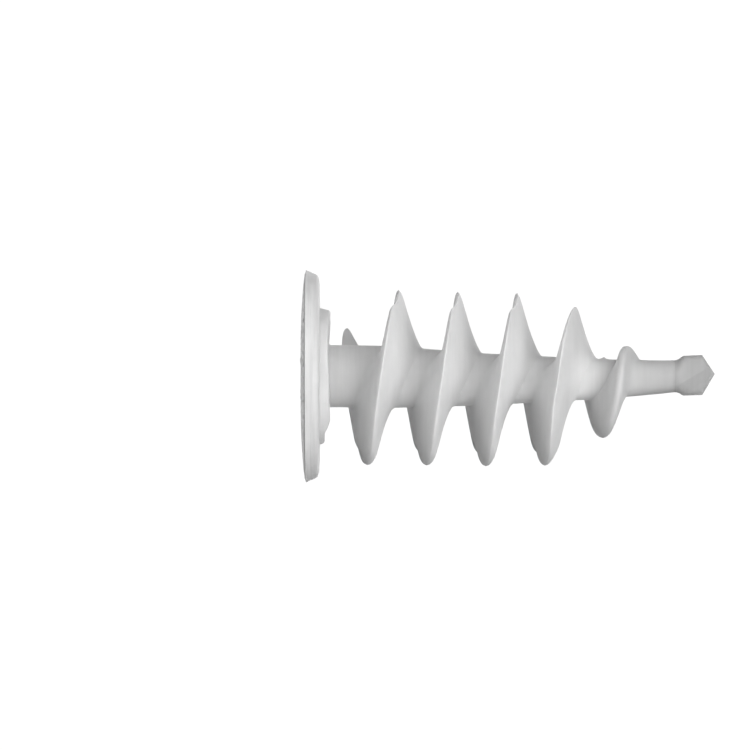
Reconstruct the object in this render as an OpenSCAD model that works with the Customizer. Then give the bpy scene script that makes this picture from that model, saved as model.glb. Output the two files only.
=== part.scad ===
// Self-drilling spiral wall anchor for soft board, a one-piece nylon moulding.
// +X runs along the axis from the head to the drill tip and +Z is up. The origin is on the
// axis, in the plane of the flange's back face, which bears on the wall. An angle about the
// axis is counted from +Z towards +Y.

/* [Flange] */
// Diameter of the flange at its front edge
flange_d = 28; // [26:0.5:30]
// Diameter of the flange at its back face
seat_d = 26; // [25:0.5:26]
// Thickness of the flange at its rim
flange_t = 1.8; // [1.6:0.1:2.2]
// Height of the domed face above its rim
dome_h = 0.7; // [0.5:0.1:0.9]

/* [Face web] */
// Number of sectors in the web of ribs
sectors = 16; // [12:2:20]
// Height of the ribs above the floor between them
rib_h = 0.6; // [0.4:0.1:0.7]
// Width of a rib
rib_w = 0.36; // [0.3:0.02:0.44]
// Distance from the axis to the ribs' inner ends
hub_r = 5; // [4.8:0.1:5.2]

/* [Drive socket] */
// Size of the six-lobe socket across its points
socket_d = 6.75; // [6.6:0.05:6.8]
// Depth of the socket below the domed face
socket_depth = 4.5; // [4:0.1:5]

/* [Core] */
// Diameter of the core under the head
core_d = 8.2; // [8:0.1:8.6]
// Diameter of the core at the neck behind the tip
neck_d = 4.1; // [3.9:0.1:4.4]
// Diameter of the screw bore
bore_d = 2.9; // [2.6:0.1:3]
// Depth of the screw bore below the flange's back face
bore_end = 40; // [30:1:41]

/* [Thread] */
// Hand of the spiral flight
thread_hand = "left"; // [left, right]
// Advance of the flight in one turn
pitch = 7.8; // [7.6:0.1:8]
// Diameter over the flight at its widest
thread_d = 23.4; // [21:0.2:24]
// Width of the flight where it leaves the core
root_w = 5; // [4.6:0.1:5.2]

/* [Drill tip] */
// Width of the spade
tip_w = 5.3; // [4.8:0.1:5.6]
// Thickness of the spade
tip_t = 2.6; // [2.2:0.1:3]
// Distance from the flange's back face to the point
tip_end = 52.1; // [51.6:0.1:53]

/* [Hidden] */

$fn = 96;
sector_a = 360 / sectors;

// Flange
face_r = flange_d / 2;
lip_w = 0.7;
lip_r = face_r - lip_w;
face_top = flange_t + dome_h;
// Domed face: [distance from the axis as a share of face_r, rise as a share of dome_h]
dome_profile = [[0, 1], [0.5, 0.93], [0.79, 0.61], [0.93, 0.34], [1, 0]];

// Web: rib centre lines are tangents to one circle round the hub
tangent_r = 4.46;
ring_node_r = 11.5;
ring_spoke_r = 11.85;
ring_w = 0.55;
side_rib_r = 13.2;
side_rib_a = 1.65;
main_reach = sqrt(ring_node_r * ring_node_r - tangent_r * tangent_r);
side_reach = sqrt(side_rib_r * side_rib_r - tangent_r * tangent_r);
side_turn = side_rib_a + acos(tangent_r / side_rib_r);

// Socket
socket_floor = socket_depth - face_top;
lobe_cut_r = 0.23 * socket_d;
lobe_cut_at = 0.36 * socket_d + lobe_cut_r;
lobe_a = 18;

// Locking collar under the flange: [angle, height] along its outer edge
collar_r = 8.9;
collar_seat = -0.3;
collar_h = 0.66;
ramp_bevel = 0.35;
ramp_from = 236;
ramp_to = 508;
ramp_step = 8;
ramp_profile = [
  [0, 0.08], [0.2, 0.16], [0.55, 0.21], [0.8, 0.26], [0.94, 0.32], [1, 0.37], [1, 0.4],
  [0.8, 0.5], [0.6, 0.6], [0.4, 0.7], [0.25, 0.79], [0.12, 0.88], [0, 1]
];

// Core
core_r = core_d / 2;
neck_r = neck_d / 2;
bore_r = bore_d / 2;
taper_from = 9;
taper_to = 46.6;
neck_from = 43;

// Flight: [turn, diameter as a share of thread_d], [turn, width as a share of root_w], and the
// profile as [height, place across the root] from the head side to the tip side
head_root = 0.44;
turn_first = 0.14;
turn_last = 5.18;
steps = 36;
run_in_x = 2.85;
run_in_ease = 0.5;
crest_share = [
  [0.14, 0.82], [0.3, 0.94], [0.5, 1], [3.5, 0.96], [4, 0.82], [4.5, 0.665], [5, 0.385],
  [5.18, 0.24]
];
width_share = [[4.4, 1], [5, 0.58], [5.18, 0.36]];
profile = [
  [0, 0], [0.23, 0.07], [0.48, 0.15], [0.65, 0.22], [0.75, 0.335], [0.86, 0.37], [1, 0.415],
  [1, 0.44], [0.83, 0.55], [0.6, 0.66], [0.33, 0.77], [0.13, 0.88], [0, 1]
];

// Drill tip
tip_r = tip_w / 2;
shoulder_from = 47;
shoulder_to = 48;
point_from = 50.4;
lip_relief = 14;

function core_at(x) = core_r + (neck_r - core_r) * (max(x, taper_from) - taper_from) / (taper_to - taper_from);
function around(a, x, r) = [x, r * sin(a), r * cos(a)];
function crest_at(turn) = thread_d / 2 * lookup(turn, crest_share);
function eased(x) =
  let (knee = run_in_x + run_in_ease)
  x > knee ? x : run_in_x + run_in_ease * exp((x - knee) / run_in_ease);
function flight_x(turn, across) =
  eased(head_root + pitch * turn + root_w * lookup(turn, width_share) * across);
function flight_point(turn, height, across) =
  let (x = flight_x(turn, across))
  around(360 * turn, x, core_at(x) + height * (crest_at(turn) - core_at(x)));
function flight_section(turn) = [for (p = profile) flight_point(turn, p[0], p[1])];
function ramp_section(a) =
  let (h = lookup(a, ramp_profile))
  [
    around(a, collar_h, core_r),
    around(a, collar_h, collar_r),
    around(a, h - ramp_bevel / 2, collar_r - ramp_bevel / 2),
    around(a, h, collar_r - ramp_bevel),
    around(a, collar_h + 0.75 * (h - collar_h), core_r)
  ];

// Turns a shape drawn along +Z so that it lies along +X
module along_x() {
  rotate([0, 90, 0]) children();
}

// Closed solid through a list of sections with the same number of points
module skin(sections) {
  count = len(sections);
  m = len(sections[0]);
  sides = [
    for (i = [0 : count - 2], j = [0 : m - 1])
      let (k = (j + 1) % m)
      each [
        [i * m + j, (i + 1) * m + j, (i + 1) * m + k],
        [i * m + j, (i + 1) * m + k, i * m + k]
      ]
  ];
  caps = [[for (j = [0 : m - 1]) j], [for (j = [m - 1 : -1 : 0]) (count - 1) * m + j]];
  polyhedron([for (s = sections) each s], concat(sides, caps), convexity = 10);
}

// Solid behind the domed surface that lies this far below the face
module domed_blank(below) {
  along_x() rotate_extrude() polygon(concat(
    [[0, 0]],
    [for (p = dome_profile) [p[0] * face_r, below - flange_t - p[1] * dome_h]],
    [[face_r, 0]]
  ));
}

// Band between the floor of the cells and the domed face, where the web's ribs stand
module rib_band() {
  intersection() {
    difference() {
      domed_blank(0);
      domed_blank(rib_h);
    }
    translate([-face_top - 1, 0, 0]) along_x() cylinder(r = lip_r, h = face_top + 1);
  }
}

// Straight rib beside the axis, square to the direction at angle a, from one reach to another
module rib(a, from, to, w) {
  rotate([-a, 0, 0])
    translate([-face_top - 1, from, tangent_r - w / 2])
      cube([face_top + 1, to - from, w]);
}

module main_ribs_blank() {
  for (i = [0 : sectors - 1])
    rib(sector_a * (i + 0.5), -main_reach, main_reach, rib_w);
}

module side_ribs_blank() {
  for (i = [0 : sectors - 1], side = [0, 1])
    mirror([0, side, 0])
      rib(sector_a * (i + 0.5) + side_turn, -side_reach, 0, rib_w * 0.8);
}

module ring_blank() {
  points = [
    for (i = [0 : 2 * sectors - 1])
      let (a = sector_a * i / 2)
      let (r = i % 2 == 0 ? ring_spoke_r : ring_node_r)
      [r * cos(a), r * sin(a)]
  ];
  inner = [for (p = points) p * (1 - ring_w / ring_spoke_r)];
  translate([-face_top - 1, 0, 0])
    rotate([90, 0, 90])
      linear_extrude(face_top + 1)
        difference() {
          polygon(points);
          polygon(inner);
        }
}

module spokes_blank() {
  for (i = [0 : sectors - 1])
    rotate([sector_a * i, 0, 0])
      translate([-face_top - 1, -rib_w / 2, ring_spoke_r - ring_w / 2])
        cube([face_top + 1, rib_w, lip_r]);
}

module hub_column() {
  translate([-face_top - 1, 0, 0]) along_x() cylinder(r = hub_r, h = face_top + 2);
}

// Six-lobe recess, from in front of the face to the socket floor
module socket_cutter() {
  translate([-face_top - 1, 0, 0])
    rotate([90, 0, 90])
      linear_extrude(socket_floor + face_top + 1)
        difference() {
          circle(d = socket_d);
          for (i = [0 : 5])
            rotate(180 - lobe_a - 30 - 60 * i) translate([lobe_cut_at, 0]) circle(r = lobe_cut_r);
        }
}

module bore_cutter() {
  along_x() cylinder(r = bore_r, h = bore_end);
}

module core_blank() {
  along_x() cylinder(r = core_r, h = taper_from);
  translate([taper_from, 0, 0]) along_x() cylinder(r1 = core_r, r2 = neck_r, h = taper_to - taper_from);
}

module flange_plate() {
  color("whitesmoke")
    difference() {
      intersection() {
        domed_blank(rib_h);
        translate([-face_top, 0, 0]) along_x() cylinder(r = lip_r, h = face_top);
        translate([-flange_t, 0, 0]) along_x() cylinder(r1 = face_r, r2 = seat_d / 2, h = flange_t);
      }
      hub_column();
      translate([collar_seat, 0, 0]) along_x() cylinder(r = collar_r, h = 1);
    }
}

module flange_rim() {
  color("white")
    difference() {
      intersection() {
        translate([-flange_t, 0, 0]) along_x() cylinder(r1 = face_r, r2 = seat_d / 2, h = flange_t);
        domed_blank(0);
      }
      translate([-flange_t - 1, 0, 0]) along_x() cylinder(r = lip_r, h = flange_t + 2);
    }
}

module web_ring() {
  color("white")
    intersection() {
      rib_band();
      ring_blank();
    }
}

module web_main_ribs() {
  color("white")
    difference() {
      intersection() {
        rib_band();
        main_ribs_blank();
      }
      ring_blank();
      hub_column();
    }
}

module web_side_ribs() {
  color("white")
    difference() {
      intersection() {
        rib_band();
        side_ribs_blank();
      }
      ring_blank();
      main_ribs_blank();
      hub_column();
    }
}

module rim_spokes() {
  color("white")
    difference() {
      intersection() {
        rib_band();
        spokes_blank();
      }
      ring_blank();
    }
}

module socket_hub() {
  color("white")
    difference() {
      intersection() {
        domed_blank(0);
        translate([-face_top, 0, 0]) along_x() cylinder(r = hub_r, h = face_top + collar_seat);
      }
      socket_cutter();
    }
}

module locking_collar() {
  color("gainsboro")
    difference() {
      translate([collar_seat, 0, 0]) along_x() cylinder(r = collar_r, h = collar_h - collar_seat);
      translate([collar_seat - 1, 0, 0]) along_x() cylinder(r = core_r, h = collar_h - collar_seat + 2);
    }
}

module locking_ramps() {
  color("gainsboro")
    mirror([0, 1, 0])
      skin([for (a = [ramp_from : ramp_step : ramp_to]) ramp_section(a)]);
}

module shank() {
  color("lightgray")
    difference() {
      translate([collar_seat, 0, 0]) along_x() cylinder(r = core_r, h = taper_from - collar_seat);
      socket_cutter();
      bore_cutter();
    }
}

module core_taper() {
  color("lightgray")
    difference() {
      intersection() {
        core_blank();
        translate([taper_from, 0, 0]) along_x() cylinder(r = 2 * core_r, h = neck_from - taper_from);
      }
      bore_cutter();
    }
}

// Stretch of the flight between two turns, standing on the core
module flight(from, to) {
  count = ceil((to - from) * steps);
  color("whitesmoke")
    mirror([0, thread_hand == "left" ? 0 : 1, 0])
      skin([for (i = [0 : count]) flight_section(from + (to - from) * i / count)]);
}

// First turn, cut square where it starts so that it clears the wall's skin
module thread_run_in() {
  flight(turn_first, 1);
}

module thread_turn_1() {
  flight(1, 2);
}

module thread_turn_2() {
  flight(2, 3);
}

module thread_turn_3() {
  flight(3, 4);
}

module thread_lead_in() {
  flight(4, turn_last);
}

module tip_neck() {
  color("lightgray")
    intersection() {
      core_blank();
      translate([neck_from, 0, 0]) along_x() cylinder(r = core_r, h = taper_to - neck_from);
    }
}

// Flat spade with two relieved cutting lips, on a short conical root
module drill_tip() {
  outline = [
    [taper_to, neck_r], [shoulder_from, neck_r], [shoulder_to, tip_r], [point_from, tip_r],
    [tip_end, 0], [point_from, -tip_r], [shoulder_to, -tip_r], [shoulder_from, -neck_r],
    [taper_to, -neck_r]
  ];
  color("lightgray")
    intersection() {
      translate([taper_to, 0, 0]) along_x() cylinder(r = tip_r, h = tip_end - taper_to);
      union() {
        difference() {
          translate([0, tip_t / 2, 0]) rotate([90, 0, 0]) linear_extrude(tip_t) polygon(outline);
          for (side = [0, 180])
            rotate([side, 0, 0])
              translate([point_from, tip_t / 2, 0])
                rotate([0, 0, -lip_relief]) cube([tip_end, tip_t, tip_w]);
        }
        translate([taper_to, 0, 0]) along_x() cylinder(r1 = neck_r, r2 = tip_t / 4, h = point_from - taper_to);
      }
    }
}

flange_plate();
flange_rim();
web_ring();
web_main_ribs();
web_side_ribs();
rim_spokes();
socket_hub();
locking_collar();
locking_ramps();
shank();
core_taper();
thread_run_in();
thread_turn_1();
thread_turn_2();
thread_turn_3();
thread_lead_in();
tip_neck();
drill_tip();
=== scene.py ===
import math

import bmesh
import bpy
import numpy as np
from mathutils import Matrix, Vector


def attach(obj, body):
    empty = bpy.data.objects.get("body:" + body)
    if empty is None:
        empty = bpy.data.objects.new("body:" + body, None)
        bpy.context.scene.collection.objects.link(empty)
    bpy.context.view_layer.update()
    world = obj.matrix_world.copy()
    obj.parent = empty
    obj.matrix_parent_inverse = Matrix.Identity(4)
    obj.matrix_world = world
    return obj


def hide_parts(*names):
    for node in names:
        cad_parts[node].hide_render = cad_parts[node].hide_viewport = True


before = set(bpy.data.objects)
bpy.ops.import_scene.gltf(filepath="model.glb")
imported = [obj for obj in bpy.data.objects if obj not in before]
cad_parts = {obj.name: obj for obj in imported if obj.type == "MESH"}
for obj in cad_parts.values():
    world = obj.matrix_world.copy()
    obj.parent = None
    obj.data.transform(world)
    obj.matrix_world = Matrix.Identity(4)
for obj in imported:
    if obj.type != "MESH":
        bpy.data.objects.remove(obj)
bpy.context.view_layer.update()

# Driving sizes in millimetres, in the CAD frame: X runs from the head to the tip, Z is up
MM = 0.001

# flange and its domed, ribbed face
FLANGE_R = 14.0
FLANGE_T = 1.8
DOME_H = 0.7
LIP_R = 13.3
FACE_BACK = -0.9
SECTORS = 16
RIB_H = 0.6

# drive socket, and the spigot that carries it inside the shank
SOCKET_R = 3.375
SOCKET_FLOOR = 2.0
SPIGOT_R = 3.9
SPIGOT_END = 2.6

# locking collar under the flange
COLLAR_R = 8.9
COLLAR_H = 0.66

# core, bore and neck
BORE_R = 1.45
BORE_END = 40.0
CORE_R = 4.1
NECK_R = 2.12
TAPER_FROM = 9.0
TAPER_TO = 46.6
BODY_FROM = 0.15
BODY_TO = 46.8

# the one continuous flight
PITCH = 7.8
HEAD_ROOT = 0.44
FIRST_TURN = 0.14
RUN_IN_X = 2.85
RUN_IN_EASE = 0.25
FLASH_X = 37.45

# drill tip
TIP_R = 2.64
TIP_END = 52.1
TIP_SLOPE = 1.585

# looks: how far painted shade pulls the colour down towards the tip and in the pockets, the stretch of
# the streaks, and painted light glowing in the bore
TIP_SHADE_TINT = 0.6
TIP_SHADE_FROM = 32
TIP_SHADE_TO = 50
PAINTED_SHADE_TINT = 0.62
STREAK_DRAG = 0.06
BORE_GLOW = 0.06


# ---------------------------------------------------------------- small tools


def ease(low, high, value):
    """0 at low and 1 at high, with a smooth step between."""
    t = np.clip((np.asarray(value, float) - low) / (high - low), 0, 1)
    return t * t * (3 - 2 * t)


def lerp(a, b, t):
    return a + (b - a) * t


def monotone_curve(points):
    """A smooth curve through the points that never overshoots them."""
    x, y = (np.array(v, float) for v in zip(*points))
    rise = np.diff(y) / np.diff(x)
    slope = np.zeros(len(x))
    slope[0], slope[-1] = rise[0], rise[-1]
    same = rise[:-1] * rise[1:] > 0
    both = np.where(same, rise[:-1] + rise[1:], 1)
    slope[1:-1] = np.where(same, 2 * rise[:-1] * rise[1:] / both, 0)

    def at(value):
        v = np.clip(np.asarray(value, float), x[0], x[-1])
        i = np.clip(np.searchsorted(x, v, side="right") - 1, 0, len(x) - 2)
        step = x[i + 1] - x[i]
        t = (v - x[i]) / step
        a = (1 + 2 * t) * (1 - t) ** 2 * y[i] + t * (1 - t) ** 2 * step * slope[i]
        b = t * t * (3 - 2 * t) * y[i + 1] + t * t * (t - 1) * step * slope[i + 1]
        return a + b

    return at


def waves(seed, *coords, reach=1.0, count=10):
    """Soft, seeded unevenness between about -1 and 1 over the given coordinates."""
    rng = np.random.default_rng(seed)
    total = 0
    for _ in range(count):
        along = sum(rng.normal(0, reach) * c for c in coords)
        total = total + np.sin(along + rng.uniform(0, 2 * math.pi))
    return total / math.sqrt(count)


def around(angle, x, r):
    """Points at that angle from +Z towards +Y."""
    x, r, angle = np.broadcast_arrays(x, r, angle)
    return np.stack([x, r * np.sin(angle), r * np.cos(angle)], -1)


# the long thin moulding has cooled with a slight sag in the middle and its point turned up
sag = monotone_curve(
    [
        (-3, 0), (2, 0), (8, -0.1), (14.6, -0.24), (21.8, -0.42), (30, -0.39), (36, -0.37),
        (44, -0.15), (48.8, 0.1), (50.4, 0.15), (52.5, 0.3), (53, 0.3),
    ]
)


def new_piece(name, points, faces, nodes, crease=38):
    """A closed mesh piece that stands for CAD nodes, with its normals facing out."""
    points = points.copy()
    points[:, 2] += sag(points[:, 0])
    mesh = bpy.data.meshes.new(name)
    mesh.from_pydata((points * MM).tolist(), [], faces)
    work = bmesh.new()
    work.from_mesh(mesh)
    bmesh.ops.remove_doubles(work, verts=work.verts, dist=0.0006 * MM)
    loose = [v for v in work.verts if not v.link_faces]
    bmesh.ops.delete(work, geom=loose, context="VERTS")
    bmesh.ops.recalc_face_normals(work, faces=work.faces)
    if work.calc_volume(signed=True) < 0:
        bmesh.ops.reverse_faces(work, faces=work.faces)
    work.to_mesh(mesh)
    work.free()
    mesh.shade_smooth()
    mesh.set_sharp_from_angle(angle=math.radians(crease))
    piece = bpy.data.objects.new(name, mesh)
    bpy.context.scene.collection.objects.link(piece)
    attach(piece, "root")
    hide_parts(*nodes)
    return piece


def set_painted_shade(piece, rule):
    """Store, for each point, how far painted shade pulls its colour down."""
    mesh = piece.data
    at = np.zeros(3 * len(mesh.vertices))
    mesh.vertices.foreach_get("co", at)
    x, y, z = at.reshape(-1, 3).T / MM
    layer = mesh.attributes.new("painted_shade", "FLOAT", "POINT")
    layer.data.foreach_set("value", rule(x, np.hypot(y, z), np.arctan2(y, z)).astype(np.float32))


def ring_stack(angles, rings):
    """Points and faces of rings of points about the axis, each ring an (x, r) pair."""
    count = len(angles)
    points = np.concatenate([around(angles, x, r) for x, r in rings])
    faces = []
    for i in range(len(rings) - 1):
        a, b = i * count, (i + 1) * count
        faces += [
            (a + j, b + j, b + (j + 1) % count, a + (j + 1) % count)
            for j in range(count)
        ]
    return points, faces


def closed_rings(angles, rings):
    """As ring_stack, with the last ring joined to the first."""
    points, faces = ring_stack(angles, rings)
    count, last = len(angles), (len(rings) - 1) * len(angles)
    faces += [
        (last + j, j, (j + 1) % count, last + (j + 1) % count) for j in range(count)
    ]
    return points, faces


def plain_rings(angles, pairs):
    """Level, round rings from (x, r) pairs."""
    flat = np.zeros(len(angles))
    return [(flat + x, flat + r) for x, r in pairs]


def turn_of(count):
    """Evenly spaced angles over one full turn."""
    return np.arange(count) / count * 2 * math.pi


# ---------------------------------------------------------------- flange face

dome_share = monotone_curve([(0, 1), (0.5, 0.93), (0.79, 0.61), (0.93, 0.34), (1, 0)])


def dome_x(r):
    """Where the domed front of the flange lies."""
    return -FLANGE_T - DOME_H * dome_share(np.asarray(r) / FLANGE_R)


def at_polar(degrees, r):
    """The (y, z) place at that angle from +Z and that distance from the axis."""
    a = math.radians(degrees)
    return np.array([r * math.sin(a), r * math.cos(a)])


def rib_lines():
    """The straight ribs of the face as pairs of end points (y, z)."""
    lines = []
    tangent_r, node_r, rim_r, split = 4.46, 11.5, 13.2, 1.65
    main_turn = math.degrees(math.acos(tangent_r / node_r))
    side_turn = split + math.degrees(math.acos(tangent_r / rim_r))
    sector = 360 / SECTORS
    for k in range(SECTORS):
        node, spoke = sector / 2 + sector * k, sector * k
        lines.append((at_polar(node - main_turn, node_r), at_polar(node + main_turn, node_r)))
        for side in (-1, 1):
            lines.append(
                (
                    at_polar(node + side * split, rim_r),
                    at_polar(node + side * side_turn, tangent_r),
                )
            )
        lines.append((at_polar(spoke, 11.85), at_polar(spoke, 13.4)))
    return lines


def rib_cover(angle, r):
    """0 on the pocket floors and 1 on top of a rib, over the face."""
    place = np.stack([r * np.sin(angle), r * np.cos(angle)], -1)
    bare = np.ones(r.shape)
    for a, b in rib_lines():
        along = b - a
        t = np.clip(((place - a) @ along) / (along @ along), 0, 1)
        gap = np.linalg.norm(place - a - t[..., None] * along, axis=-1)
        bare *= ease(0.05, 0.31, gap)
    ring_r = 11.475 + 0.275 * np.cos(SECTORS * angle)
    bare *= ease(0.12, 0.40, np.abs(r - ring_r))
    bare *= ease(4.7, 5.35, r)
    return 1 - bare


def socket_r(angle, scale=1.0):
    """The six-lobe outline of the drive socket, with its corners slightly blended."""
    bulge_at, bulge_r, sharpness = 3.972, 1.547, 0.16
    # the angle from the middle of the nearest inward bulge
    turned = (angle + math.radians(72) + math.radians(30)) % math.radians(60)
    off = turned - math.radians(30)
    inside = bulge_r**2 - (bulge_at * np.sin(off)) ** 2
    wall = np.where(
        inside > 0, bulge_at * np.cos(off) - np.sqrt(np.clip(inside, 0, None)), 9.0
    )
    return scale * -sharpness * np.log(
        np.exp(-wall / sharpness) + np.exp(-SOCKET_R / sharpness)
    )


def socket_rings(angles):
    """Up the bore, across the socket's floor and up its wall to the rounded mouth."""
    lobe = angles + math.radians(30)
    mouth = socket_r(lobe)
    floor_r = socket_r(lobe, 0.93)
    # the inward bulges are rounded over more widely than the points
    edge = lerp(0.22, 0.85, ease(SOCKET_R, 2.42, mouth))
    flat = np.zeros(len(angles))
    top = dome_x(3.6)
    chamfer = 0.12
    rings = plain_rings(angles, (
        (SPIGOT_END, BORE_R), (SOCKET_FLOOR + chamfer, BORE_R), (SOCKET_FLOOR, BORE_R + chamfer),
    ))
    for t in (0.35, 0.7, 0.94):
        rings.append((flat + SOCKET_FLOOR, lerp(BORE_R + chamfer, floor_r, t)))
    for t in np.linspace(0.02, 1, 11):
        rings.append((lerp(SOCKET_FLOOR - 0.1, top + edge, t), lerp(floor_r, mouth, t)))
    for t in np.radians([15, 30, 45, 60, 75, 90]):
        rings.append((top + edge * (1 - math.sin(t)), mouth + edge * (1 - math.cos(t))))
    for t in (0.35, 0.7):
        r = lerp(mouth + edge, 4.25, t)
        rings.append((lerp(top + flat, dome_x(r), t), r))
    return rings


def face_disc():
    """The ribbed face, its hub, the drive socket and the spigot inside the shank, in one skin."""
    angles = turn_of(768)
    outer_r = LIP_R + 0.02
    rings = socket_rings(angles)
    for r in np.linspace(4.3, outer_r, 96):
        rings.append((face_x(angles, np.full(len(angles), r)), np.full(len(angles), r)))
    rings += plain_rings(angles, (
        (FACE_BACK, outer_r), (FACE_BACK, SPIGOT_R), (SPIGOT_END, SPIGOT_R),
    ))
    points, faces = closed_rings(angles, rings)
    nodes = ("flange_plate", "web_ring", "web_main_ribs", "web_side_ribs", "rim_spokes", "socket_hub")
    piece = new_piece("ribbed_face", points, faces, nodes)
    # painted shade darkens the pockets between the ribs
    set_painted_shade(piece, face_painted_shade)
    return piece


def face_painted_shade(x, r, angle):
    """Painted shade: the pockets are darker than the ribs, most of all out by the rim."""
    sunk = ease(0.1, 0.5, x - dome_x(r)) * ease(5.0, 9.5, r) * (x < FACE_BACK)
    return np.where((r > 4.6) & (r < LIP_R), sunk, 0)


def face_x(angle, r):
    """Height of the ribbed face: ribs flush with the dome, pockets sunk between them."""
    cover = rib_cover(angle, r)
    depth = RIB_H * lerp(0.5, 1.0, ease(5.0, 8.5, r))
    dish = 0.03 * waves(11, r * np.sin(angle), r * np.cos(angle), reach=0.5)
    flash = np.clip(waves(12, r * np.sin(angle), r * np.cos(angle), reach=2.6) - 0.9, 0, 1)
    flash = 0.10 * flash * np.exp(-(((r - 5.0) / 0.45) ** 2))
    return dome_x(r) + depth * (1 - cover) + dish * (1 - cover) - flash


def lip_pairs(hole):
    """The hidden underside of the lip, then its rounded front edge, as (x, r) pairs."""
    under = FACE_BACK + 0.03
    lip = float(dome_x(LIP_R))
    return (
        (under, hole), (under, LIP_R), (-1.30, LIP_R), (lip + 0.30, LIP_R),
        (lip + 0.10, LIP_R + 0.01), (lip + 0.02, LIP_R + 0.06), (lip, LIP_R + 0.15),
        (float(dome_x(13.6)), 13.6), (float(dome_x(13.75)), 13.75),
        (float(dome_x(13.88)) + 0.01, 13.88), (-1.84, 13.965),
    )


def wall_rings(angles):
    """The conical side wall, with its mould line and light scuffs."""
    rings = []
    flat = np.zeros(len(angles))
    for t in np.linspace(0, 1, 22):
        x = lerp(-FLANGE_T + 0.02, -0.5, t)
        r = lerp(FLANGE_R, 13.43, t)
        scuff = 0.012 * waves(21, flat + 9 * x, 2.0 * np.sin(angles), 2.0 * np.cos(angles), reach=1.4)
        seam = 0.02 * math.exp(-(((x + 1.02) / 0.07) ** 2))
        rings.append((flat + x, r + seam + scuff * math.sin(math.pi * t)))
    return rings


def flange_rim():
    """The lip, the conical side wall and the back of the flange."""
    angles = turn_of(512)
    hole = SPIGOT_R + 0.04
    back = (
        (-0.38, 13.36), (-0.28, 13.27), (-0.19, 13.13), (-0.12, 12.95), (-0.07, 12.7),
        (-0.03, 12.4), (0.0, 12.0), (0.02, 10.5), (0.04, 9.2), (0.04, hole),
    )
    rings = plain_rings(angles, lip_pairs(hole)) + wall_rings(angles) + plain_rings(angles, back)
    points, faces = closed_rings(angles, rings)
    piece = new_piece("flange_lip", points, faces, ("flange_rim",), crease=50)
    # painted shade darkens the front of the lip, as in the pockets
    set_painted_shade(piece, lambda x, r, angle: ease(-1.82, -1.88, x) * ease(13.4, 13.6, r))
    return piece


# ---------------------------------------------------------------- locking collar

RAMP_FROM = 134
DRAFT = 0.24
# the outer edge's rounding, as (distance below the top, distance inwards) pairs
ROUNDED_EDGE = ((0.3, 0), (0.17, 0.03), (0.06, 0.12), (0.0, 0.28))
# height against the angle from +Z towards -Y, in degrees
ramp_height = monotone_curve(
    [
        (134, 1.42), (139, 1.25), (152, 0.72), (160, 0.67), (232, COLLAR_H), (240, 0.74),
        (297, 1.07), (308, 1.28), (328, 1.4), (368, 1.42), (396, 1.12), (435, 1.12),
        (449, 1.28), (469, 1.28), (486, 1.42), (494, 1.42),
    ]
)


def locking_collar():
    """The ring under the flange, whose top climbs into ramps that grip the board."""
    angles = turn_of(360)
    height = ramp_height(RAMP_FROM + (np.degrees(-angles) - RAMP_FROM) % 360)
    flat = np.zeros(len(angles))
    rim = COLLAR_R - 0.02 * np.abs(waves(31, np.sin(angles), np.cos(angles), reach=3.0))
    inner = lerp(COLLAR_H, height, 0.72)
    inside = CORE_R - 0.5

    def on_wall(x, inwards=0):
        return x, rim + 0.12 - DRAFT * x - inwards

    rings = [
        (flat - 0.1, flat + inside),
        on_wall(flat - 0.1),
        on_wall(flat + 0.1),
        on_wall(lerp(0.1, height - 0.3, 0.5)),
        *(on_wall(height - down, inwards) for down, inwards in ROUNDED_EDGE),
        *((lerp(height, inner, t), flat + r) for t, r in ((0.2, 7.6), (0.55, 6.4), (0.85, 5.2))),
        *((inner + up, flat + r) for up, r in ((0.02, 4.5), (0.12, 4.2), (0.3, CORE_R - 0.02))),
        (inner + 0.3, flat + inside),
    ]
    points, faces = closed_rings(angles, rings)
    nodes = ("locking_collar", "locking_ramps")
    return new_piece("locking_collar_body", points, faces, nodes)


# ---------------------------------------------------------------- spiral body

# steps in a turn, steps across the bare core, and the first and last step along the helix
TURN_STEPS = 240
CORE_STEPS = 8
FIRST_STEP = -264
LAST_STEP = 1430

# The flight's section as (distance from the head root, share of its height) pairs: at the mould's
# parting line above and below the axis, midway on the near and far side, and towards the lead-in
SECTION_ABOVE = [
    (1.0, 0), (1.12, 0.05), (1.25, 0.2), (1.35, 0.38), (1.45, 0.55), (1.56, 0.7), (1.66, 0.8),
    (1.86, 0.93), (2.17, 1), (2.38, 0.93), (2.66, 0.8), (3.02, 0.595), (3.46, 0.39),
    (3.79, 0.257), (4.27, 0.122), (4.77, 0.03), (5.4, 0),
]
SECTION_BELOW = [
    (0.0, 0), (0.2, 0.05), (0.38, 0.2), (0.5, 0.38), (0.62, 0.55), (0.76, 0.7), (0.94, 0.82),
    (1.3, 0.94), (1.95, 1), (2.6, 0.95), (3.08, 0.8), (3.44, 0.6), (3.84, 0.39),
    (4.17, 0.257), (4.57, 0.122), (4.97, 0.03), (5.5, 0),
]
SECTION_NEAR = [
    (-0.6, 0), (-0.15, 0.022), (0.3, 0.08), (0.68, 0.22), (0.9, 0.42), (1.05, 0.62), (1.2, 0.79),
    (1.42, 0.93), (1.72, 1), (1.9, 0.975), (2.2, 0.875), (2.7, 0.67), (3.25, 0.465),
    (3.75, 0.3), (4.25, 0.165), (4.7, 0.06), (5.1, 0),
]
SECTION_FAR = [
    (0.0, 0), (0.22, 0.05), (0.38, 0.18), (0.48, 0.36), (0.57, 0.53), (0.67, 0.68), (0.81, 0.81),
    (1.05, 0.93), (1.5, 1), (2.0, 0.955), (2.45, 0.81), (3.05, 0.6), (3.65, 0.39),
    (4.05, 0.257), (4.5, 0.122), (4.95, 0.03), (5.6, 0),
]
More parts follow.
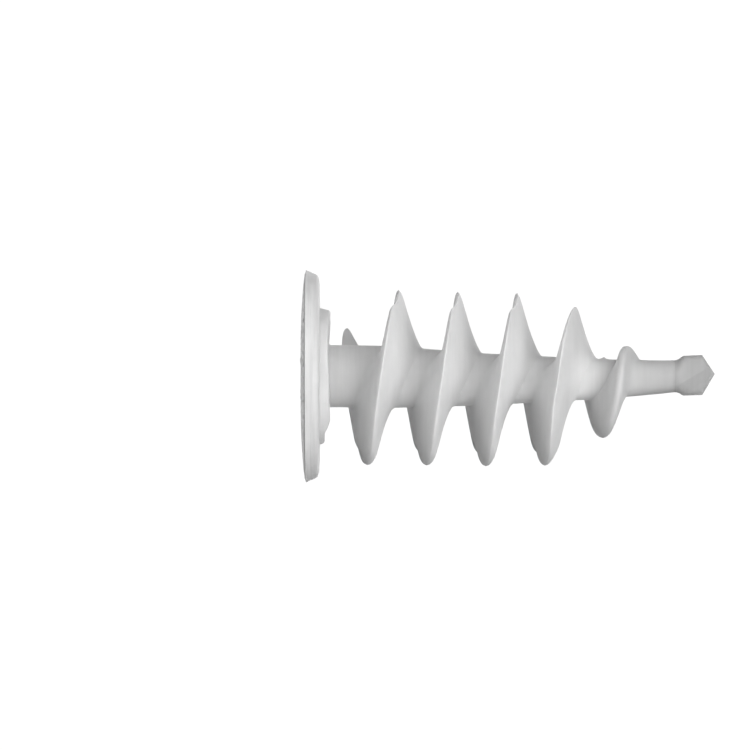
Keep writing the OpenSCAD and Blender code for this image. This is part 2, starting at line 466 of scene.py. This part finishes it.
SECTION_LATE = [
    (0.35, 0), (0.6, 0.08), (0.82, 0.25), (1.0, 0.44), (1.18, 0.61), (1.38, 0.76), (1.62, 0.88),
    (1.9, 0.96), (2.25, 1), (2.6, 0.96), (2.92, 0.85), (3.25, 0.68), (3.6, 0.48), (3.9, 0.3),
    (4.2, 0.14), (4.5, 0.04), (5, 0),
]
SECTION_LAST = [
    (0.35, 0), (0.45, 0.15), (0.52, 0.38), (0.58, 0.62), (0.63, 0.74), (0.7, 0.84), (0.8, 0.93),
    (0.95, 0.985), (1.2, 1), (1.5, 0.99), (1.75, 0.92), (1.92, 0.74), (2.08, 0.5),
    (2.2, 0.3), (2.4, 0.12), (2.6, 0.04), (3, 0),
]
SECTIONS = (
    SECTION_ABOVE, SECTION_BELOW, SECTION_NEAR, SECTION_FAR, SECTION_LATE, SECTION_LAST
)
# which station is the crest, once the corners have had points put between them
APEX = 16
# depth of the cut-back edge, and the share of the half turn at which it starts
RELIEF = 0.45
RELIEF_ABOVE = 0.805
RELIEF_BELOW = 0.835
# how far the section leans along the axis between the parting lines
SLANT_ABOVE = 0.35
SLANT_BELOW = 0.5
SLANT_FAR = -0.3
# reach of the fillet at the head side's foot, and the widening of the tip side below turn 3.5
FOOT_FILLET = 0.5
TIP_SPREAD = 0.35

# how far the near side's section has slipped along the axis on each turn
near_slip = monotone_curve(
    [
        (-2, 0), (0.75, 0), (1.75, 0.2), (2.75, 0.03), (3.3, -0.08), (3.6, -0.55), (3.68, -0.55),
        (3.76, -0.25), (9, -0.2),
    ]
)

# distance of the crest from the axis against the turn
crest_r = monotone_curve(
    [
        (0, 9.9), (0.14, 10.2), (0.3, 11.2), (0.5, 11.8), (1, 11.7), (2, 11.65), (3, 11.55),
        (3.3, 11.55), (3.5, 11.54), (3.75, 10.8), (4, 9.66), (4.5, 7.85), (5, 4.1),
        (5.18, 2.9), (5.3, 2.3), (8, 1.0),
    ]
)


def core_r(x):
    """The core: straight at first, then tapering to the neck."""
    return lerp(CORE_R, NECK_R, np.clip((x - TAPER_FROM) / (TAPER_TO - TAPER_FROM), 0, 1))


def stations(section):
    """A section's corners with a point halfway between each pair, slightly rounded."""
    keys = np.array(section, float)
    fine = np.empty((2 * len(keys) - 1, 2))
    fine[0::2] = keys
    fine[1::2] = (keys[1:] + keys[:-1]) / 2
    for _ in range(2):
        fine[1:-1] = 0.2 * fine[:-2] + 0.6 * fine[1:-1] + 0.2 * fine[2:]
    return fine


def turn_steps():
    """Where in a turn the steps lie, and the turn that each step along the helix stands at."""
    share = np.arange(TURN_STEPS) / TURN_STEPS
    first = int(FIRST_TURN * TURN_STEPS)
    share[first], share[first + 1] = FIRST_TURN - 0.0015, FIRST_TURN
    steps = np.arange(FIRST_STEP, LAST_STEP + TURN_STEPS + 1)
    return share, steps // TURN_STEPS + share[steps % TURN_STEPS]


def blended_section(turn):
    """The flight's section at each turn, blended between those on the four sides."""
    above, below, near, far, slack, _ = (stations(s)[None] for s in SECTIONS)
    up = np.cos(2 * math.pi * turn)[:, None, None]
    away = np.sin(2 * math.pi * turn)[:, None, None] > 0
    late = ease(4.0, 4.6, turn)[:, None, None]
    slipped = near[..., 0] + near_slip(turn)[:, None]
    near = np.stack(np.broadcast_arrays(slipped, near[..., 1]), -1)
    mid = lerp(np.where(away, far, near), slack, late)
    section = np.where(up > 0, up**2 * above, up**2 * below) + (1 - up**2) * mid
    slant = np.where(up > 0, SLANT_ABOVE, np.where(away, SLANT_FAR, SLANT_BELOW))
    section[..., 0] += (slant * up * (1 - up**2))[..., 0] * ease(3.6, 3.3, turn)[:, None]
    return lerp(section, above, 0.6 * ease(0.34, 0.16, turn)[:, None, None])


def shape_head_side(section, turn, head_side):
    """Cut the edge back before each parting line, and run the foot out in a wider fillet."""
    half = (2 * turn) % 1
    start = np.where(turn % 1 > 0.5, RELIEF_ABOVE, RELIEF_BELOW)
    relief = RELIEF * ease(start - 0.012, start + 0.022, half) * ease(1.0, 0.91, half)
    relief = (relief * ease(3.95, 3.6, turn))[:, None]
    section[..., 0] += relief * ease(0.62, 0.78, section[..., 1]) * head_side
    upper = np.clip(np.cos(2 * math.pi * turn), 0, 1)[:, None]
    foot = np.clip(1 - section[..., 1] / 0.3, 0, 1) ** 2 * head_side * upper
    section[..., 0] -= FOOT_FILLET * ease(1.3, 1.9, turn)[:, None] * foot


def shape_tip_side(section, turn, head_side):
    """Draw the tip side in towards the lead-in, but for a wider stretch below turn 3.5."""
    apex = section[:, APEX : APEX + 1, 0]
    drawn = 1 - 0.2 * ease(3.6, 4.4, turn)[:, None]
    section[..., 0] = np.where(head_side, section[..., 0], apex + (section[..., 0] - apex) * drawn)
    spread = ease(3.42, 3.52, turn) * ease(3.8, 3.7, turn) * TIP_SPREAD
    section[..., 0] += spread[:, None] * ease(0.95, 0.7, section[..., 1]) * ~head_side


def section_at(turn):
    """Stations (distance, share of height) of the flight at each turn."""
    section = blended_section(turn)
    head_side = np.arange(section.shape[1]) <= APEX
    shape_head_side(section, turn, head_side)
    shape_tip_side(section, turn, head_side)
    last = stations(SECTION_LAST)[None]
    section = lerp(section, last, ease(4.6, 5.0, turn)[:, None, None])
    # no station may lie behind the one before it
    section[..., 0] = np.maximum.accumulate(section[..., 0], axis=1)
    return section


def with_core(turn, section):
    """The stations with those of the bare core up to the next turn's root added."""
    reach, height = section[..., 0], section[..., 1]
    root_next = PITCH + section_at(turn + 1)[:, 0, 0]
    t = (np.arange(1, CORE_STEPS) / CORE_STEPS)[None]
    land = lerp(reach[:, -1:], np.maximum(root_next[:, None], reach[:, -1:]), t)
    return np.concatenate([reach, land], 1), np.concatenate([height, np.zeros_like(land)], 1)


def flight_r(turn, x, height, there):
    """Distance from the axis, with fine streaks, slight unevenness and one speck of flash."""
    sine, cosine = np.sin(2 * math.pi * turn)[:, None], np.cos(2 * math.pi * turn)[:, None]
    core = core_r(x)
    rise = np.clip(crest_r(turn)[:, None] - core, 0, None)
    streak = waves(41, np.arange(height.shape[1])[None] * 1.9, 0.35 * turn[:, None], reach=1.0)
    uneven = waves(42, x * 0.35, sine * 2, cosine * 2)
    r = core + np.where(there, rise, 0) * height * (1 + 0.0022 * streak)
    r = r + 0.012 * uneven
    off_top = (turn + 0.5) % 1 - 0.5
    return r + 0.3 * np.exp(-(((x - FLASH_X) / 0.3) ** 2) - (off_top[:, None] / 0.035) ** 2)


def spiral_points():
    """Grid of points along the helix: one row per step, from a flight's head root to the next."""
    share, turn = turn_steps()
    reach, height = with_core(turn, section_at(turn))
    x = HEAD_ROOT + PITCH * turn[:, None] + reach
    there = (turn >= FIRST_TURN - 1e-9)[:, None]
    # the flight's start is held back against the plane where it runs in
    knee = RUN_IN_X + RUN_IN_EASE
    eased = RUN_IN_X + RUN_IN_EASE * np.exp(np.minimum(x - knee, 0) / RUN_IN_EASE)
    held = np.where(x > knee, x, eased)
    x = np.where((height > 0) & there, held, x)
    r = flight_r(turn, x, height, there)
    ends = ease(BODY_FROM, BODY_FROM + 0.4, x) * ease(BODY_TO, BODY_TO - 0.4, x)
    r = lerp(core_r(x), r, ends)
    x = np.clip(x, BODY_FROM, BODY_TO)
    return share, around(2 * math.pi * turn[:, None], x, r)


def helix_faces(across):
    """Quads of the grid, each row's last point meeting the first of the row a turn later."""
    faces = []
    for i in range(LAST_STEP - FIRST_STEP):
        here, after = i * across, (i + 1) * across
        next_turn = (i + TURN_STEPS) * across
        for j in range(across - 1):
            faces.append((here + j, after + j, after + j + 1, here + j + 1))
        faces.append((here + across - 1, after + across - 1, next_turn + across, next_turn))
    return faces


def spiral_body():
    """Shank, tapering core and the one continuous flight, bored for the screw."""
    share, grid = spiral_points()
    points = [grid.reshape(-1, 3)]
    faces = helix_faces(grid.shape[1])
    offset = len(points[0])
    seat_r, seat_x = SPIGOT_R + 0.03, SPIGOT_END + 0.03
    inner = [
        (BODY_FROM, CORE_R), (BODY_FROM, seat_r), (seat_x, seat_r), (seat_x, BORE_R),
        (BORE_END, BORE_R), (BORE_END + 0.5, 0.6), (BORE_END + 0.7, 0.0),
    ]
    end = [(BODY_TO, float(core_r(BODY_TO))), (BODY_TO, 0.0)]
    angles = share * 2 * math.pi
    for pairs in (inner, end):
        more, quads = ring_stack(angles, plain_rings(angles, pairs))
        faces += [tuple(offset + v for v in q) for q in quads]
        points.append(more)
        offset += len(more)
    nodes = (
        "shank", "core_taper", "tip_neck", "thread_run_in", "thread_turn_1", "thread_turn_2",
        "thread_turn_3", "thread_lead_in",
    )
    return new_piece("spiral_body", np.concatenate(points), faces, nodes, crease=42)


# ---------------------------------------------------------------- drill tip

tip_half_width = monotone_curve(
    [
        (46.6, 2.09), (46.8, 2.12), (47.05, 2.15), (47.4, 2.28), (47.75, 2.52), (48.05, 2.63),
        (50.4, TIP_R), (52.06, 0.10),
    ]
)
tip_half_depth = monotone_curve(
    [
        (46.6, 2.09), (46.8, 2.115), (47.1, 2.1), (48.4, 1.72), (50.4, 1.4), (51.4, 0.8),
        (52.06, 0.22),
    ]
)


def tip_ring(angles, x):
    """The squarish section of the point at x, with a shallow flute on each face."""
    wide = float(lerp(tip_half_width(x), (TIP_END - x) * TIP_SLOPE, ease(50.39, 50.41, x)))
    wide = min(wide, float(tip_half_width(50.4)))
    deep = float(tip_half_depth(x))
    square = lerp(2.0, 3.2, float(ease(46.9, 48.6, x)))
    s, c = np.abs(np.sin(angles)), np.abs(np.cos(angles))
    r = ((s / deep) ** square + (c / max(wide, 0.08)) ** square) ** (-1 / square)
    y, z = r * np.sin(angles), r * np.cos(angles)
    # the flute lies below a slanting line on the near face, and its twin on the far face
    for side in (-1, 1):
        below = np.clip(0.55 * (x - 49.4) + side * z, 0, 1.6)
        on = ease(0.1, 0.9, side * y) * float(ease(46.9, 47.9, x))
        y = y - side * on * 0.4 * below
    return around(np.arctan2(y, z), x, np.hypot(y, z))


def drill_tip():
    """The spade point: round at the neck, flat at the front, with a relieved lip on each side."""
    angles = turn_of(160)
    xs = np.concatenate([
        np.linspace(46.62, 48.2, 22), np.linspace(48.35, 50.3, 14), [50.36, 50.4, 50.46],
        np.linspace(50.6, 52.0, 14), [52.06],
    ])
    back, front = around(angles, xs[0], 0), around(angles, xs[-1] + 0.02, 0)
    points = np.concatenate([back, *(tip_ring(angles, x) for x in xs), front])
    _, faces = ring_stack(angles, [(0, 0)] * (len(xs) + 2))
    return new_piece("drill_point", points, faces, ("drill_tip",), crease=30)


# ---------------------------------------------------------------- materials


def noise(tree, vector, scale, detail, rough=0.5):
    node = tree.nodes.new("ShaderNodeTexNoise")
    node.inputs["Scale"].default_value = scale
    node.inputs["Detail"].default_value = detail
    node.inputs["Roughness"].default_value = rough
    tree.links.new(vector, node.inputs["Vector"])
    return node.outputs["Fac"]


def spread(tree, value, low, high, start=0.3, end=0.7):
    """A value that goes from low to high as the given one goes from start to end."""
    node = tree.nodes.new("ShaderNodeMapRange")
    node.inputs["From Min"].default_value = start
    node.inputs["From Max"].default_value = end
    node.inputs["To Min"].default_value = low
    node.inputs["To Max"].default_value = high
    tree.links.new(value, node.inputs["Value"])
    return node.outputs["Result"]


def grey_mix(tree, factor, grey, base, blend="MULTIPLY"):
    """The base colour with a grey mixed in by the factor."""
    node = tree.nodes.new("ShaderNodeMix")
    node.data_type = "RGBA"
    node.blend_type = blend
    node.inputs["B"].default_value = (grey, grey, grey, 1)
    tree.links.new(factor, node.inputs["Factor"])
    if isinstance(base, float):
        node.inputs["A"].default_value = (base, base, base, 1)
    else:
        tree.links.new(base, node.inputs["A"])
    return node.outputs["Result"]


def mapping(tree, vector, location=(0, 0, 0), scale=(1, 1, 1)):
    node = tree.nodes.new("ShaderNodeMapping")
    node.inputs["Location"].default_value = location
    node.inputs["Scale"].default_value = scale
    tree.links.new(vector, node.inputs["Vector"])
    return node.outputs["Vector"]


def nylon_colour(tree, where, place, pale, deep, cloud_size, streak, tip_shade_tint):
    """Clouds, then painted shade towards the tip, streaks dragged round the axis, and painted shade in
    the pockets and on the lip front.
    """
    clouds = noise(tree, place, 1 / (cloud_size * MM), 4.0, 0.55)
    colour = grey_mix(tree, spread(tree, clouds, 0.0, 1.0), pale, deep, "MIX")
    # painted shade: the colour is pulled down along X towards the tip, standing in for the light that
    # falls off there
    split = tree.nodes.new("ShaderNodeSeparateXYZ")
    tree.links.new(where, split.inputs["Vector"])
    thin = spread(tree, split.outputs["X"], 0.0, 1.0, TIP_SHADE_FROM * MM, TIP_SHADE_TO * MM)
    colour = grey_mix(tree, thin, tip_shade_tint, colour)
    dragged = mapping(tree, place, scale=(1.0, STREAK_DRAG, STREAK_DRAG))
    lines = noise(tree, dragged, 1 / (0.6 * MM), 3.0, 0.6)
    colour = grey_mix(tree, spread(tree, lines, 0.0, 1.0), streak, colour)
    # painted shade: the stored share pulls the colour down towards the shade tint
    painted_shade = tree.nodes.new("ShaderNodeAttribute")
    painted_shade.attribute_name = "painted_shade"
    return grey_mix(tree, painted_shade.outputs["Fac"], PAINTED_SHADE_TINT, colour)


def bore_light(tree, where, glow):
    """A faint glow inside the bore, for the light that comes through its thin walls."""
    flat = tree.nodes.new("ShaderNodeVectorMath")
    flat.operation = "MULTIPLY"
    flat.inputs[1].default_value = (0, 1, 1)
    tree.links.new(where, flat.inputs[0])
    off_axis = tree.nodes.new("ShaderNodeVectorMath")
    off_axis.operation = "LENGTH"
    tree.links.new(flat.outputs["Vector"], off_axis.inputs[0])
    wall, outside = (BORE_R - 0.03) * MM, (BORE_R + 0.1) * MM
    return spread(tree, off_axis.outputs["Value"], glow, 0.0, wall, outside)


def nylon(name, pale, deep, gloss, cloud_size, seed, streak=0.95, tip_shade_tint=TIP_SHADE_TINT, glow=BORE_GLOW):
    """Natural white nylon: milky, satin, slightly clouded, with painted shade greying it towards the
    tip.
    """
    mat = bpy.data.materials.new(name)
    mat.use_nodes = True
    tree = mat.node_tree
    shader = tree.nodes["Principled BSDF"]
    where = tree.nodes.new("ShaderNodeTexCoord").outputs["Object"]
    place = mapping(tree, where, location=(seed * 0.013, seed * 0.007, seed * 0.011))
    colour = nylon_colour(tree, where, place, pale, deep, cloud_size, streak, tip_shade_tint)
    tree.links.new(colour, shader.inputs["Base Color"])
    rough = spread(tree, noise(tree, place, 900, 3.0), gloss - 0.05, gloss + 0.07)
    tree.links.new(rough, shader.inputs["Roughness"])
    shader.inputs["Subsurface Weight"].default_value = 0.6
    shader.inputs["Subsurface Radius"].default_value = (1.0, 1.0, 1.0)
    shader.inputs["Subsurface Scale"].default_value = 0.55 * MM
    shader.inputs["IOR"].default_value = 1.5
    shader.inputs["Specular IOR Level"].default_value = 0.35
    shader.inputs["Emission Color"].default_value = (1, 1, 1, 1)
    tree.links.new(bore_light(tree, where, glow), shader.inputs["Emission Strength"])
    grain = tree.nodes.new("ShaderNodeBump")
    grain.inputs["Strength"].default_value = 0.25
    grain.inputs["Distance"].default_value = 0.012 * MM
    tree.links.new(noise(tree, place, 2600, 3.0, 0.6), grain.inputs["Height"])
    tree.links.new(grain.outputs["Normal"], shader.inputs["Normal"])
    return mat


def stage_material():
    """The plain pale finish of the floor."""
    mat = bpy.data.materials.new("pale_floor")
    mat.use_nodes = True
    tree = mat.node_tree
    tree.nodes.clear()
    out = tree.nodes.new("ShaderNodeOutputMaterial")
    glow = tree.nodes.new("ShaderNodeEmission")
    glow.inputs["Color"].default_value = (1, 1, 1, 1)
    glow.inputs["Strength"].default_value = 1.05
    tree.links.new(glow.outputs["Emission"], out.inputs["Surface"])
    return mat


def paint(piece, material):
    piece.data.materials.clear()
    piece.data.materials.append(material)


# ---------------------------------------------------------------- studio


def floor():
    """A level white floor well below the part, which neither shades nor colours it."""
    mesh = bpy.data.meshes.new("floor")
    half, level = 3.0, -0.055
    corners = [(-half, -half, level), (half, -half, level), (half, half, level), (-half, half, level)]
    mesh.from_pydata(corners, [], [(0, 1, 2, 3)])
    obj = bpy.data.objects.new("floor", mesh)
    bpy.context.scene.collection.objects.link(obj)
    paint(obj, stage_material())
    obj.visible_shadow = False
    obj.visible_diffuse = False
    obj.visible_glossy = False
    obj.visible_transmission = False


def softbox(name, towards, distance, size, power):
    """A square light at that distance (m) in that direction, facing the middle of the part."""
    data = bpy.data.lights.new(name, "AREA")
    data.shape = "SQUARE"
    data.size = size
    data.energy = power
    lamp = bpy.data.objects.new(name, data)
    way = Vector(towards).normalized()
    lamp.location = Vector((0.022, 0, 0)) + way * distance
    lamp.rotation_euler = (-way).to_track_quat("-Z", "Y").to_euler()
    bpy.context.scene.collection.objects.link(lamp)


def surroundings(above, below):
    """Dim light from all round, stronger from above, behind a backdrop that the camera sees white."""
    world = bpy.data.worlds.new("room")
    world.use_nodes = True
    bpy.context.scene.world = world
    tree = world.node_tree
    tree.nodes.clear()
    out = tree.nodes.new("ShaderNodeOutputWorld")
    coords = tree.nodes.new("ShaderNodeTexCoord")
    split = tree.nodes.new("ShaderNodeSeparateXYZ")
    ramp = tree.nodes.new("ShaderNodeMapRange")
    ramp.inputs["From Min"].default_value = -1
    ramp.inputs["From Max"].default_value = 1
    ramp.inputs["To Min"].default_value = below
    ramp.inputs["To Max"].default_value = above
    glow = tree.nodes.new("ShaderNodeBackground")
    plain = tree.nodes.new("ShaderNodeBackground")
    plain.inputs["Strength"].default_value = 1.05
    path = tree.nodes.new("ShaderNodeLightPath")
    mix = tree.nodes.new("ShaderNodeMixShader")
    tree.links.new(coords.outputs["Generated"], split.inputs["Vector"])
    tree.links.new(split.outputs["Z"], ramp.inputs["Value"])
    tree.links.new(ramp.outputs["Result"], glow.inputs["Strength"])
    plain.inputs["Color"].default_value = (1, 1, 1, 1)
    glow.inputs["Color"].default_value = (1, 1, 1, 1)
    tree.links.new(path.outputs["Is Camera Ray"], mix.inputs["Fac"])
    tree.links.new(glow.outputs["Background"], mix.inputs[1])
    tree.links.new(plain.outputs["Background"], mix.inputs[2])
    tree.links.new(mix.outputs["Shader"], out.inputs["Surface"])


def camera():
    """A long lens looking along +Y at the part's side."""
    data = bpy.data.cameras.new("camera")
    data.lens = 360
    data.sensor_width = 36
    field = 98.9 * MM
    data.dof.use_dof = False
    cam = bpy.data.objects.new("camera", data)
    cam.location = (7.3 * MM, -field * data.lens / data.sensor_width, 0.16 * MM)
    cam.rotation_euler = (math.radians(90), 0, 0)
    bpy.context.scene.collection.objects.link(cam)
    bpy.context.scene.camera = cam


face_nylon = nylon("face_nylon", pale=0.88, deep=0.81, gloss=0.42, cloud_size=5.0, seed=1, streak=0.86)
flight_nylon = nylon("flight_nylon", pale=0.86, deep=0.8, gloss=0.44, cloud_size=6.0, seed=2)
# painted shade: a darker copy of the same nylon for the collar and the drill point, standing in for
# the shade that falls on them
core_nylon = nylon("core_nylon", pale=0.8, deep=0.72, gloss=0.46, cloud_size=4.0, seed=3, glow=0)

paint(face_disc(), face_nylon)
paint(flange_rim(), face_nylon)
paint(locking_collar(), core_nylon)
paint(spiral_body(), flight_nylon)
paint(drill_tip(), core_nylon)

floor()
softbox("key", (0.8, -0.55, 0.35), 0.5, 0.35, 0.4)
softbox("key_fill", (0.55, -0.8, 0.3), 0.5, 0.35, 0.9)
softbox("low_front", (0.4, -0.85, -0.4), 0.5, 0.35, 0.5)
softbox("top_right", (0.6, -0.3, 0.9), 0.5, 0.35, 0.3)
softbox("low", (0.33, -0.5, -0.8), 0.6, 0.5, 1.3)
softbox("left", (-0.9, -0.4, 0.1), 0.6, 0.5, 0.72)
softbox("high_left", (-0.4, -0.8, 0.5), 0.6, 0.5, 1.0)
softbox("face", (-1.0, -0.02, 0.04), 0.7, 0.08, 0.85)
softbox("rear", (0.1, 0.9, 0.1), 0.6, 0.5, 1.0)
surroundings(above=0.13, below=0.03)
camera()
bpy.context.scene.view_settings.view_transform = "Standard"
